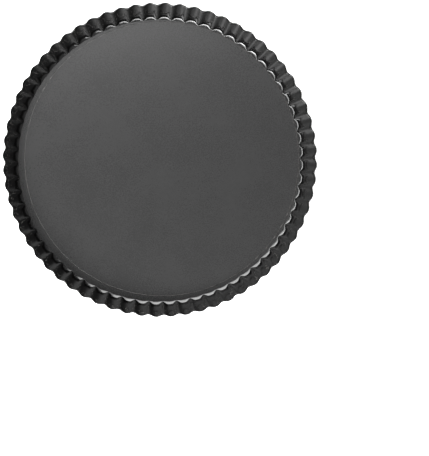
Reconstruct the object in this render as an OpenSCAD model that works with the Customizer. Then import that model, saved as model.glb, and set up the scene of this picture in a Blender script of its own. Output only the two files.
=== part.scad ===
// Fluted tart pan with a loose base.
// Two pieces: a pressed ring (fluted wall, curled rim and flat in-turned ledge)
// and a round plate that lies on the ledge and lifts out through the top.
// Millimetres. +Z is up along the pan's axis, and z = 0 is the underside of the ledge.

/* [Ring] */
// Radius of the rim's outer edge, halfway between flute crest and valley
rim_radius = 125; // [90:1:160]
// Height from the underside of the ledge to the top of the rim
pan_height = 26; // [18:1:40]
// How far the foot of the wall lies inside the top of the wall
wall_flare = 7.25; // [3:0.05:12]
// Width of the in-turned ledge, from the foot of the wall to the hole
ledge_width = 10.55; // [6:0.05:20]
// Thickness of the ring's sheet
sheet = 0.8; // [0.5:0.1:1]

/* [Flutes] */
// Number of flutes round the wall
flute_count = 64; // [48:4:72]
// Depth of a flute from crest to valley, at the rim
flute_depth = 2.3; // [1:0.1:3]
// Share of that depth left where the wall meets the corner
foot_share = 0.95; // [0.5:0.05:1]
// How much broader the crests are than the valleys
crest_breadth = 0.2; // [0:0.05:0.25]

/* [Rim and corner] */
// How far the rim curls out past the wall
lip_reach = 0.9; // [0.5:0.1:1.5]
// Radius inside the corner between the wall and the ledge, halfway between a
// flute's crest, where it is a wide scoop, and its valley, where it is tight
corner_radius = 1.75; // [1.5:0.05:3]

/* [Base] */
// Thickness of the loose base
base_sheet = 0.8; // [0.5:0.1:1.5]
// Gap all round between the base, lying centred, and the start of the corner
base_play = 2.7; // [0.5:0.1:4]
// Share of that gap by which the base lies off centre
base_shift = 0.92; // [0:0.01:0.95]
// Direction in which the base lies off centre
base_shift_angle = 40; // [0:1:359]

/* [Hidden] */

ring_coating = [0.16, 0.16, 0.17];
base_coating = [0.24, 0.24, 0.25];
arc_sides = 256;
overcut = 1;

// Mean radii of the wall's inner face at its top and at its foot.
top_radius = rim_radius - lip_reach - sheet;
foot_radius = top_radius - wall_flare;

// Lean of the wall outwards from upright.
lean = atan(wall_flare / (pan_height - sheet));

// The ledge is an exact flat ring out to a circle just inside the corner, and the
// fluted shell runs a little way into it.
corner_start = foot_radius + corner_radius * (tan(lean) - 1 / cos(lean));
ledge_overlap = 0.4;
ledge_radius = corner_start - ledge_overlap;
hole_radius = foot_radius - ledge_width;

base_radius = corner_start - base_play;

// The corner's bend turns up by 45 degrees to its middle, which follows three quarters
// of the flutes' depth at the foot.
mid_tilt = 45;
bend_share = 0.75 * foot_share;

// The curl starts this far below the top of the rim, on the outside.
curl_height = 1.4 * sheet;

// Points round one flute; the first lies on its crest.
flute_points = 6;
ring_points = flute_count * flute_points;

// Mean radius of the wall's inner face at height z, on the straight slope.
function slope_radius(z) = foot_radius + wall_flare * (z - sheet) / (pan_height - sheet);

// Height and radius on the corner's bend, turned up by tilt from the ledge, on the
// inner face or at a distance below it.
function bend_height(tilt, below) = sheet + corner_radius - (corner_radius + below) * cos(tilt);
function bend_radius(tilt, below) = corner_start + (corner_radius + below) * sin(tilt);

// Corners of the shell's section: height, mean radius and how much of the flute
// they follow, where 0 is a plain circle. They run from the ledge's underside,
// out and up the outer face, over the rim and down the inner face.
section = [
    [0, ledge_radius - ledge_overlap, 0],
    [0, corner_start, 0],
    [bend_height(mid_tilt, sheet), bend_radius(mid_tilt, sheet), bend_share],
    [bend_height(90 - lean, sheet), bend_radius(90 - lean, sheet), foot_share],
    [pan_height - curl_height, slope_radius(pan_height - curl_height) + sheet, 1],
    [pan_height - sheet, rim_radius, 1],
    [pan_height - sheet / 4, rim_radius, 1],
    [pan_height, rim_radius - lip_reach / 2, 1],
    [pan_height, slope_radius(pan_height) + sheet / 2, 1],
    [pan_height - sheet, slope_radius(pan_height - sheet), 1],
    [bend_height(90 - lean, 0), bend_radius(90 - lean, 0), foot_share],
    [bend_height(mid_tilt, 0), bend_radius(mid_tilt, 0), bend_share],
    [sheet, corner_start, 0],
    [sheet, ledge_radius - ledge_overlap, 0]
];

// Wave from -1 in a valley to 1 on a crest, with broad crests and narrow valleys.
function flute_wave(turn) = cos(turn) + crest_breadth * (1 - cos(2 * turn));

// One point of the shell: a corner of the section at a step round the ring.
function shell_point(corner, step) =
    let (angle = 360 * step / ring_points)
    let (wave = flute_wave(360 * step / flute_points))
    let (radius = corner[1] + corner[2] * wave * flute_depth / 2)
    [radius * cos(angle), radius * sin(angle), corner[0]];

// Fluted shell: the wall with its curled rim and its corner.
module fluted_shell() {
    rows = len(section);
    points = [
        for (step = [0 : ring_points - 1])
        for (corner = section)
        shell_point(corner, step)
    ];
    faces = [
        for (step = [0 : ring_points - 1])
        for (row = [0 : rows - 1])
        let (near = step * rows)
        let (far = ((step + 1) % ring_points) * rows)
        let (next = (row + 1) % rows)
        each [
            [near + row, near + next, far + next],
            [near + row, far + next, far + row]
        ]
    ];
    polyhedron(points = points, faces = faces);
}

// Flat in-turned ledge with the round hole that the base covers.
module ledge() {
    difference() {
        cylinder(r = ledge_radius, h = sheet, $fn = arc_sides);
        translate([0, 0, -overcut])
        cylinder(r = hole_radius, h = sheet + 2 * overcut, $fn = arc_sides);
    }
}

// Pressed ring: wall, rim and ledge in one sheet.
module fluted_ring() {
    color(ring_coating)
    union() {
        fluted_shell();
        ledge();
    }
}

// Loose base: a flat round plate lying on the ledge.
module loose_base() {
    direction = [cos(base_shift_angle), sin(base_shift_angle), 0];
    color(base_coating)
    translate(base_shift * base_play * direction + [0, 0, sheet])
    cylinder(r = base_radius, h = base_sheet, $fn = arc_sides);
}

fluted_ring();
loose_base();
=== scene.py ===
"""Looks of the fluted tart pan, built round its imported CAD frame.

Two pieces replace the two plain CAD nodes: the pressed ring with its smooth flutes,
curled rim and rounded corner, and the loose base plate with its sheared edge.
Everything is in metres, in the frame's own axes: +Z up along the pan's axis.
"""
import math

import bpy
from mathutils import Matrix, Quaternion, Vector


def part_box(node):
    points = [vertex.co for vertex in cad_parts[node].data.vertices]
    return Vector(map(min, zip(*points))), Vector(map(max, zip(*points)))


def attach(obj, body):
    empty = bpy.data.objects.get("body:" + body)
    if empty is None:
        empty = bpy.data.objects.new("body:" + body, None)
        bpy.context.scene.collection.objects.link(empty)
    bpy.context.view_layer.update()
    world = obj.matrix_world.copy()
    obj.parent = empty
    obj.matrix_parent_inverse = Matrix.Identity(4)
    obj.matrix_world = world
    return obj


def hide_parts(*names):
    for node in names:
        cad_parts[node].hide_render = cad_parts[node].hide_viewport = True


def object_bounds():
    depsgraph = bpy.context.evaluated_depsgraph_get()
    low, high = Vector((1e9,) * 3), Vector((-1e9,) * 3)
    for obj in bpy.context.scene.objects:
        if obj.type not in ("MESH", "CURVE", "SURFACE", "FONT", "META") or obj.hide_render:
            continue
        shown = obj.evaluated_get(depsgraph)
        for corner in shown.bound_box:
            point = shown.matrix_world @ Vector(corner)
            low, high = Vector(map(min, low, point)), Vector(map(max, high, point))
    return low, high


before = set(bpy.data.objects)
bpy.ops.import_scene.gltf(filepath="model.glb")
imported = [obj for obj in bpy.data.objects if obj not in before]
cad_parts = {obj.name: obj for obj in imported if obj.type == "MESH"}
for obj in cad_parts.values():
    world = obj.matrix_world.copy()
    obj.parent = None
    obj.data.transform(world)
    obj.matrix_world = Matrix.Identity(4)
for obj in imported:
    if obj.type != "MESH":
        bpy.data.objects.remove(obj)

cad_low, cad_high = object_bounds()
ring_low, ring_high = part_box("fluted_ring")
base_low, base_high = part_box("loose_base")

MM = 0.001

# ---------------------------------------------------------------- sizes

SHEET = 0.8 * MM              # thickness of the ring's sheet
FLUTES = 64                   # flutes round the wall
FLUTE_DEPTH = 2.3 * MM        # from crest to valley, at the rim
FOOT_DEPTH = 2.3 * MM         # and at the foot of the wall
FOOT_BREADTH = 0.24           # how much broader the crests are than the valleys, at the foot
RIM_BREADTH = 0.06            # and at the rim
WALL_FLARE = 7.65 * MM        # how far the wall leans out from foot to rim
RIM_OVERHANG = 1.3 * MM       # from the wall's inner face, at the top, to the rim's mean edge
HOLE_RADIUS = 105.5 * MM      # of the hole in the ledge
VALLEY_INSET = 1.45 * MM      # from the foot's mean radius in to where the ledge turns up
CREST_INSET = 1.15 * MM       # the same on a crest, where that shallow scoop is wide
SCOOP_TILTS = (math.radians(13), math.radians(20.5))  # slope of the shallow scoop, start and end
VALLEY_BEND = 0.3 * MM        # radius inside the tight bend up into the wall, in a valley
CREST_BEND = 0.9 * MM         # and on a crest
CURL_RADIUS = 0.95 * MM       # outside of the rim's bend, from the wall over to the lip
LIP_FALL = math.radians(10)   # how much the lip beyond that bend slopes down
CREST_LIP = 0.13 * MM         # length of the lip on a crest
VALLEY_LIP = 0.80 * MM        # and in a valley
CUT_ROUNDING = 0.15 * MM      # on the sheet's cut edges
BASE_ROLL = 0.4 * MM          # on the base's upper edge
BASE_CAP = 2 * MM             # radius of the one flat face in the middle of each side of it

# ---------------------------------------------------------------- fineness of the meshes

HOLDING = 0.12 * MM           # from a bend's end to the row of points that holds it
POINTS_PER_FLUTE = 18         # round the ring
BASE_POINTS = 256             # round the base
CUT_STEPS = 3                 # along each quarter round of a cut edge
SCOOP_STEPS = 6               # the rest are steps along the ring's section
BEND_STEPS = 8
CURL_STEPS = 8
UNDER_SCOOP_STEPS = 4
UNDER_BEND_STEPS = 5
UNDER_CURL_STEPS = 4
WALL_STEPS = 4
LEDGE_STEPS = 3
LIP_STEPS = 2
BASE_ROLL_STEPS = 8           # and along the base's
BASE_FACE_STEPS = 24

# ---------------------------------------------------------------- sizes that follow

PAN_HEIGHT = ring_high.z - ring_low.z
RIM_RADIUS = (ring_high.x - ring_low.x) / 2 - FLUTE_DEPTH / 2
TOP_RADIUS = RIM_RADIUS - RIM_OVERHANG
FOOT_RADIUS = TOP_RADIUS - WALL_FLARE


# ---------------------------------------------------------------- section of the ring

def arc(centre, radius, start, end, steps):
    """Points (r, z) along an arc about centre, from angle start to angle end."""
    turn = [start + (end - start) * i / steps for i in range(steps + 1)]
    return [(centre[0] + radius * math.cos(a), centre[1] + radius * math.sin(a)) for a in turn]


def line(first, last, steps):
    """Points inside a straight stretch, both ends left out, with one close to each end.

    The close ones keep the shading of the flat faces apart from that of the bends.
    """
    close = min(HOLDING / math.dist(first, last), 0.5 / steps)
    share = [close] + [i / steps for i in range(1, steps)] + [1 - close]
    return [(first[0] + (last[0] - first[0]) * s, first[1] + (last[1] - first[1]) * s) for s in share]


def cut_edge(first, last, facing):
    """Points round a sheared edge that faces this way, from one of its corners to the other."""
    quarter = math.radians(90)
    out = Vector((math.cos(facing), math.sin(facing)))
    across = Vector((-out.y, out.x))
    first_centre = Vector(first) + CUT_ROUNDING * (across - out)
    last_centre = Vector(last) - CUT_ROUNDING * (across + out)
    return (arc(first_centre, CUT_ROUNDING, facing - quarter, facing, CUT_STEPS)
            + arc(last_centre, CUT_ROUNDING, facing, facing + quarter, CUT_STEPS))


def marked(points, bare):
    """The same points with a third value: 1 where the sheet was cut and is bare, else 0."""
    return [(radius, height, bare) for radius, height in points]


def flute_wave(turn, breadth):
    """From -1 in a valley to 1 on a crest, with broad crests and narrow valleys."""
    return math.cos(turn) + breadth * (1 - math.cos(2 * turn))


def between(valley_value, crest_value, turn):
    """Value that swings from a valley's to a crest's and back as turn goes round."""
    return valley_value + (crest_value - valley_value) * (math.cos(turn) + 1) / 2


def ring_section(turn):
    """Closed section (r, z) at this turn of a flute: under the ledge, up, over and down."""
    down = math.radians(-90)
    foot_r = FOOT_RADIUS + flute_wave(turn, FOOT_BREADTH) * FOOT_DEPTH / 2
    top_r = TOP_RADIUS + flute_wave(turn, RIM_BREADTH) * FLUTE_DEPTH / 2
    slope = (top_r - foot_r) / (PAN_HEIGHT - SHEET)
    lean = math.atan(slope)
    # The tight bend touches the wall's straight inner face, and the shallow scoop reaches
    # from it to the ledge. Both are arcs that meet at the scoop's steeper end.
    gentle, steep = SCOOP_TILTS
    bend_radius = between(VALLEY_BEND, CREST_BEND, turn)
    bend_reach = bend_radius * (slope * math.cos(steep) - 1 / math.cos(lean) + math.sin(steep))
    scoop_rise = math.tan((gentle + steep) / 2)
    scoop_start = FOOT_RADIUS - between(VALLEY_INSET, CREST_INSET, turn)
    scoop_width = (foot_r + bend_reach - scoop_start) / (1 - slope * scoop_rise)
    scoop_radius = scoop_width / (math.sin(steep) - math.sin(gentle))
    scoop = (scoop_start - scoop_radius * math.sin(gentle), SHEET + scoop_radius * math.cos(gentle))
    bend = (scoop[0] + (scoop_radius - bend_radius) * math.sin(steep),
            scoop[1] - (scoop_radius - bend_radius) * math.cos(steep))
    # The rim bends over from the top of the wall and ends in a lip.
    curl = (top_r - CURL_RADIUS * slope + CURL_RADIUS / math.cos(lean), PAN_HEIGHT - CURL_RADIUS)
    lip = between(VALLEY_LIP, CREST_LIP, turn)
    over = math.radians(90) - LIP_FALL
    lip_corners = [(curl[0] + radius * math.cos(over) + lip * math.cos(LIP_FALL),
                    curl[1] + radius * math.sin(over) - lip * math.sin(LIP_FALL))
                   for radius in (CURL_RADIUS - SHEET, CURL_RADIUS)]

    underside = arc(scoop, scoop_radius + SHEET, down + gentle, down + steep, UNDER_SCOOP_STEPS)
    underside += arc(bend, bend_radius + SHEET, down + steep, -lean, UNDER_BEND_STEPS)[1:]
    under_curl = arc(curl, CURL_RADIUS - SHEET, math.pi - lean, over, UNDER_CURL_STEPS)
    rim_edge = cut_edge(*lip_corners, -LIP_FALL)
    over_curl = arc(curl, CURL_RADIUS, over, math.pi - lean, CURL_STEPS)
    inside = arc(bend, bend_radius, -lean, down + steep, BEND_STEPS)
    inside += arc(scoop, scoop_radius, down + steep, down + gentle, SCOOP_STEPS)[1:]
    hole_edge = cut_edge((HOLE_RADIUS, SHEET), (HOLE_RADIUS, 0.0), math.pi)

    under = line(hole_edge[-1], underside[0], LEDGE_STEPS) + underside
    outside = line(underside[-1], under_curl[0], WALL_STEPS) + under_curl
    top = line(under_curl[-1], rim_edge[0], LIP_STEPS) + rim_edge
    top += line(rim_edge[-1], over_curl[0], LIP_STEPS)
    inner_face = over_curl + line(over_curl[-1], inside[0], WALL_STEPS) + inside
    ledge = line(inside[-1], hole_edge[0], LEDGE_STEPS)
    return marked(hole_edge, 1.0) + marked(under + outside + top + inner_face + ledge, 0.0)


# ---------------------------------------------------------------- meshes

BARE = "bare_metal"           # the meshes' mark for a cut edge


def swept(name, sections, steps, centre, closed):
    """Mesh swept round the axis: column i uses sections[i], counted round and round.

    A closed section makes a ring. An open one makes a plate, with a flat cap at each end.
    """
    rows = len(sections[0])
    points = []
    for step in range(steps):
        turn = 2 * math.pi * step / steps
        for radius, height, _ in sections[step % len(sections)]:
            points.append((centre[0] + radius * math.cos(turn),
                           centre[1] + radius * math.sin(turn),
                           centre[2] + height))
    faces = []
    for step in range(steps):
        near = step * rows
        far = (step + 1) % steps * rows
        for row in range(rows if closed else rows - 1):
            after = (row + 1) % rows
            faces.append((near + row, far + row, far + after, near + after))
    if not closed:
        faces.append([step * rows for step in range(steps)][::-1])
        faces.append([step * rows + rows - 1 for step in range(steps)])
    mesh = bpy.data.meshes.new(name)
    mesh.from_pydata(points, [], faces)
    mesh.update()
    mesh.polygons.foreach_set("use_smooth", [True] * len(mesh.polygons))
    bare = [point[2] for step in range(steps) for point in sections[step % len(sections)]]
    mesh.attributes.new(BARE, "FLOAT", "POINT").data.foreach_set("value", bare)
    piece = bpy.data.objects.new(name, mesh)
    bpy.context.scene.collection.objects.link(piece)
    return piece


def make_ring():
    """Pressed ring; the sections of one flute repeat all the way round."""
    turns = [2 * math.pi * i / POINTS_PER_FLUTE for i in range(POINTS_PER_FLUTE)]
    sections = [ring_section(turn) for turn in turns]
    return swept("ring_sheet", sections, FLUTES * POINTS_PER_FLUTE, (0.0, 0.0, ring_low.z), True)


def make_base():
    """Loose round plate with a rolled upper edge and a sharper sheared lower one."""
    radius = (base_high.x - base_low.x) / 2
    thick = base_high.z - base_low.z
    middle = (base_low + base_high) / 2
    cut_centre = (radius - CUT_ROUNDING, CUT_ROUNDING)
    roll_centre = (radius - BASE_ROLL, thick - BASE_ROLL)
    lower_edge = arc(cut_centre, CUT_ROUNDING, math.radians(-90), 0.0, CUT_STEPS)
    upper_edge = arc(roll_centre, BASE_ROLL, 0.0, math.radians(90), BASE_ROLL_STEPS)
    low_cap = (BASE_CAP, 0.0)
    high_cap = (BASE_CAP, thick)
    under = [low_cap] + line(low_cap, lower_edge[0], BASE_FACE_STEPS)
    over = line(upper_edge[-1], high_cap, BASE_FACE_STEPS) + [high_cap]
    section = marked(under, 0.0) + marked(lower_edge + upper_edge[:-2], 1.0)
    section += marked(upper_edge[-2:] + over, 0.0)
    return swept("base_plate", [section], BASE_POINTS, (middle.x, middle.y, base_low.z), False)


# ---------------------------------------------------------------- materials

class Nodes:
    """Short forms for wiring one material's nodes."""

    def __init__(self, name):
        self.material = bpy.data.materials.new(name)
        self.material.use_nodes = True
        self.tree = self.material.node_tree
        self.shader = self.tree.nodes["Principled BSDF"]
        self.place = self.tree.nodes.new("ShaderNodeTexCoord").outputs["Object"]

    def feed(self, socket, value):
        """Gives a node's input a socket to follow, or a number or colour to hold."""
        if isinstance(value, bpy.types.NodeSocket):
            self.tree.links.new(value, socket)
        else:
            socket.default_value = value

    def noise(self, size, detail, softness=0.5):
        """Noise from 0 to 1 whose features are about this many metres across."""
        node = self.tree.nodes.new("ShaderNodeTexNoise")
        node.inputs["Scale"].default_value = 1 / size
        node.inputs["Detail"].default_value = detail
        node.inputs["Roughness"].default_value = softness
        self.tree.links.new(self.place, node.inputs["Vector"])
        return node.outputs["Fac"]

    def spread(self, value, low, high, to_low, to_high):
        """Maps low..high onto to_low..to_high and holds it there beyond."""
        node = self.tree.nodes.new("ShaderNodeMapRange")
        self.tree.links.new(value, node.inputs["Value"])
        node.inputs["From Min"].default_value = low
        node.inputs["From Max"].default_value = high
        node.inputs["To Min"].default_value = to_low
        node.inputs["To Max"].default_value = to_high
        return node.outputs["Result"]

    def combine(self, operation, first, second):
        """Math node on two values, each a socket or a number."""
        node = self.tree.nodes.new("ShaderNodeMath")
        node.operation = operation
        self.feed(node.inputs[0], first)
        self.feed(node.inputs[1], second)
        return node.outputs["Value"]

    def colour(self, share, first, second):
        """Mix of two colours, each a socket or four numbers."""
        node = self.tree.nodes.new("ShaderNodeMix")
        node.data_type = "RGBA"
        self.tree.links.new(share, node.inputs["Factor"])
        self.feed(node.inputs["A"], first)
        self.feed(node.inputs["B"], second)
        return node.outputs["Result"]

    def height(self):
        """Height of the point above the frame's origin, in metres."""
        node = self.tree.nodes.new("ShaderNodeSeparateXYZ")
        self.tree.links.new(self.place, node.inputs["Vector"])
        return node.outputs["Z"]

    def attribute(self, name):
        """One of the mesh's own values, such as its mark for cut edges."""
        node = self.tree.nodes.new("ShaderNodeAttribute")
        node.attribute_name = name
        return node.outputs["Fac"]

    def bump(self, height, distance):
        """Fine relief, of this many metres where the height goes from 0 to 1."""
        node = self.tree.nodes.new("ShaderNodeBump")
        node.inputs["Distance"].default_value = distance
        self.tree.links.new(height, node.inputs["Height"])
        self.tree.links.new(node.outputs["Normal"], self.shader.inputs["Normal"])

    def set(self, name, value):
        """Gives one of the shader's inputs a socket or a number."""
        self.feed(self.shader.inputs[name], value)


# Shade of the coating itself, how rough it is and how much it mirrors.
GLOSSY = (0.0025, 0.14, 0.5)
DULL = (0.011, 0.28, 0.25)
STEEL = (0.30, 0.29, 0.28, 1.0)
STEEL_ROUGHNESS = 0.16
RUB_FADE = 0.10 * MM          # height over which the rubbed ledge's look fades out
WEAR_START = ring_high.z - CURL_RADIUS    # height at which the worn rim's look starts
WEAR_FADE = 0.3 * MM          # and over which it comes in
WORN_MIRRORING = 0.35         # the share of its mirroring that the worn rim keeps

GRAIN_SIZE = 0.9 * MM
MOTTLE_SIZE = 3.0 * MM
CLOUD_SIZE = 45 * MM
NOISE_LOW = 0.3               # most of a noise lies between these two
NOISE_MIDDLE = 0.5
NOISE_HIGH = 0.7
MOTTLE_SHADES = (0.93, 1.07)  # the mottle's darkest and lightest, as shares of the tone
BARE_SHARES = (0.75, 1.0)     # how bare a cut edge is, from speck to speck
GRAIN_ROUGHNESS = 0.03        # how far the grain moves the roughness up or down
CLOUD_ROUGHNESS = 0.02        # and the clouds
MOTTLE_RELIEF = 0.5           # the mottle's height, as a share of the grain's
RING_RELIEF = 0.003 * MM      # height of the grain on the ring
BASE_RELIEF = 0.006 * MM      # and on the base


def coating(nodes, look, relief):
    """Black non-stick coating: fine grain, a faint mottle, and bare steel on cut edges.

    The look is its tone, roughness and mirroring, each a socket or a number.
    """
    tone, roughness, mirroring = look
    grain = nodes.noise(GRAIN_SIZE, detail=3.0, softness=0.6)
    mottle = nodes.noise(MOTTLE_SIZE, detail=2.0)
    cloud = nodes.noise(CLOUD_SIZE, detail=2.0)
    shades = nodes.spread(mottle, NOISE_LOW, NOISE_HIGH, *MOTTLE_SHADES)
    paint = nodes.combine("MULTIPLY", tone, shades)
    mark = nodes.attribute(BARE)
    specks = nodes.spread(grain, NOISE_LOW, NOISE_MIDDLE, *BARE_SHARES)
    cut = nodes.combine("MULTIPLY", mark, specks)
    nodes.set("Base Color", nodes.colour(cut, paint, STEEL))
    nodes.set("Metallic", cut)
    nodes.set("Specular IOR Level", mirroring)

    fine = nodes.spread(grain, NOISE_LOW, NOISE_HIGH, -GRAIN_ROUGHNESS, GRAIN_ROUGHNESS)
    broad = nodes.spread(cloud, NOISE_LOW, NOISE_HIGH, -CLOUD_ROUGHNESS, CLOUD_ROUGHNESS)
    coated = nodes.combine("ADD", roughness, nodes.combine("ADD", fine, broad))
    whole = nodes.combine("SUBTRACT", 1.0, cut)
    nodes.set("Roughness", nodes.combine("ADD", nodes.combine("MULTIPLY", coated, whole),
                                         nodes.combine("MULTIPLY", cut, STEEL_ROUGHNESS)))
    height = nodes.combine("ADD", grain, nodes.combine("MULTIPLY", mottle, MOTTLE_RELIEF))
    nodes.bump(height, relief)
    return nodes.material


def ring_coating():
    """Glossy on the wall, dull on the ledge where the base rubs it, and worn along the rim."""
    nodes = Nodes("ring_coating_dark")
    height = nodes.height()
    tone, roughness, mirroring = [
        nodes.spread(height, base_low.z, base_low.z + RUB_FADE, low, high)
        for low, high in zip(DULL, GLOSSY)]
    worn = nodes.spread(height, WEAR_START, WEAR_START + WEAR_FADE, 1.0, WORN_MIRRORING)
    mirroring = nodes.combine("MULTIPLY", mirroring, worn)
    return coating(nodes, (tone, roughness, mirroring), RING_RELIEF)


def base_coating():
    """The same dull look as the ledge's, all over."""
    return coating(Nodes("base_coating_dark"), DULL, BASE_RELIEF)


# ---------------------------------------------------------------- stage

CAMERA_DISTANCE = 1.25        # from the rim's centre
CAMERA_RANGE = (0.01, 20.0)   # nearest and farthest that it sees
SENSOR = 36.0                 # millimetres
RIM_SPAN = 0.6842             # the rim's mean diameter, as a share of the picture's height
PAN_LEFT = 0.1180             # how far the pan's centre lies left of the picture's, same share
PAN_UP = 0.1488               # and how far it lies above it
VIEW_TILT = math.radians(2.0)     # from straight above,
VIEW_SIDE = math.radians(231)     # towards this side,
VIEW_ROLL = math.radians(1.75)    # and turned in the picture

WHITE = (1.0, 1.0, 1.0, 1.0)
FLOOR_HALF = 6.0              # half the floor's side
FLOOR_GAP = 0.02 * MM         # between the floor and the pan
FLOOR_COLOUR = (0.9, 0.9, 0.9, 1.0)
FLOOR_ROUGHNESS = 0.9
FLOOR_GLOW = 0.4              # keeps the floor white in the picture
WORLD_LEVEL = 0.05

LIGHT_DISTANCE = 1.6
# A scoop tilted by 17 degrees mirrors a light at 90 - 2 * 17 degrees straight up.
SMALL_LIGHT_ELEVATION = 56


def make_camera():
    """Straight above the pan, leaning a little, with the pan up and left in the picture."""
    focal = RIM_SPAN * CAMERA_DISTANCE / (2 * RIM_RADIUS)
    data = bpy.data.cameras.new("camera")
    data.sensor_width = SENSOR
    data.lens = SENSOR * focal
    data.clip_start, data.clip_end = CAMERA_RANGE
    camera = bpy.data.objects.new("camera", data)
    bpy.context.scene.collection.objects.link(camera)
    target = Vector((0.0, 0.0, ring_high.z))
    away = Vector((math.sin(VIEW_TILT) * math.cos(VIEW_SIDE),
                   math.sin(VIEW_TILT) * math.sin(VIEW_SIDE),
                   math.cos(VIEW_TILT)))
    lean = Vector((0.0, 0.0, 1.0)).rotation_difference(away)
    aside = Vector((-PAN_LEFT, PAN_UP, -focal)).rotation_difference(Vector((0.0, 0.0, -1.0)))
    roll = Quaternion((0.0, 0.0, 1.0), VIEW_ROLL)
    camera.rotation_mode = "QUATERNION"
    camera.rotation_quaternion = lean @ roll @ aside
    camera.location = target + away * CAMERA_DISTANCE
    bpy.context.scene.camera = camera


def make_floor():
    """Plain white floor under the pan."""
    mesh = bpy.data.meshes.new("floor")
    corners = [(x * FLOOR_HALF, y * FLOOR_HALF, 0.0) for x, y in ((-1, -1), (1, -1), (1, 1), (-1, 1))]
    mesh.from_pydata(corners, [], [(0, 1, 2, 3)])
    floor = bpy.data.objects.new("floor", mesh)
    bpy.context.scene.collection.objects.link(floor)
    floor.location.z = cad_low.z - FLOOR_GAP
    material = bpy.data.materials.new("floor_white")
    material.use_nodes = True
    shader = material.node_tree.nodes["Principled BSDF"]
    shader.inputs["Base Color"].default_value = FLOOR_COLOUR
    shader.inputs["Roughness"].default_value = FLOOR_ROUGHNESS
    shader.inputs["Emission Color"].default_value = WHITE
    shader.inputs["Emission Strength"].default_value = FLOOR_GLOW
    floor.data.materials.append(material)


def area_light(name, azimuth, elevation, size, power, distance=LIGHT_DISTANCE):
    """Soft square light aimed at the pan from a direction, in degrees about +Z from +X."""
    data = bpy.data.lights.new(name, "AREA")
    data.shape = "SQUARE"
    data.size = size
    data.energy = power
    light = bpy.data.objects.new(name, data)
    bpy.context.scene.collection.objects.link(light)
    a, e = math.radians(azimuth), math.radians(elevation)
    toward = Vector((math.cos(e) * math.cos(a), math.cos(e) * math.sin(a), math.sin(e)))
    light.location = toward * distance
    light.rotation_mode = "QUATERNION"
    light.rotation_quaternion = toward.to_track_quat("Z", "Y")


def small_lights(azimuths, size, power):
    """Lights that the corner's scoop mirrors as the row of bright crescents."""
    for azimuth in azimuths:
        area_light("strip_%d" % azimuth, azimuth, SMALL_LIGHT_ELEVATION, size, power)


def make_world():
    """White backdrop for the camera, and a weak even light for everything else."""
    world = bpy.data.worlds.new("studio")
    world.use_nodes = True
    tree = world.node_tree
    around = tree.nodes["Background"]
    around.inputs["Color"].default_value = WHITE
    around.inputs["Strength"].default_value = WORLD_LEVEL
    backdrop = tree.nodes.new("ShaderNodeBackground")
    backdrop.inputs["Color"].default_value = WHITE
    seen = tree.nodes.new("ShaderNodeLightPath").outputs["Is Camera Ray"]
    choice = tree.nodes.new("ShaderNodeMixShader")
    tree.links.new(seen, choice.inputs[0])
    tree.links.new(around.outputs[0], choice.inputs[1])
    tree.links.new(backdrop.outputs[0], choice.inputs[2])
    tree.links.new(choice.outputs[0], tree.nodes["World Output"].inputs["Surface"])
    bpy.context.scene.world = world


# ---------------------------------------------------------------- assembly

ring = make_ring()
ring.data.materials.append(ring_coating())
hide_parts("fluted_ring")
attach(ring, "ring")

base = make_base()
base.data.materials.append(base_coating())
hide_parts("loose_base")
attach(base, "base")

make_camera()
make_floor()
make_world()
small_lights((150, 170, 190, 210, 290), size=0.29, power=4.8)
small_lights((230, 250, 270), size=0.36, power=10)
area_light("key_lower_left", azimuth=236, elevation=42, size=0.6, power=60)
area_light("fill_upper_left", azimuth=108, elevation=40, size=1.5, power=14)
area_light("near_upper_left", azimuth=104, elevation=58, size=0.45, power=6.5, distance=0.75)
area_light("overhead", azimuth=0, elevation=90, size=2.0, power=4.5)
bpy.context.scene.view_settings.view_transform = "Standard"
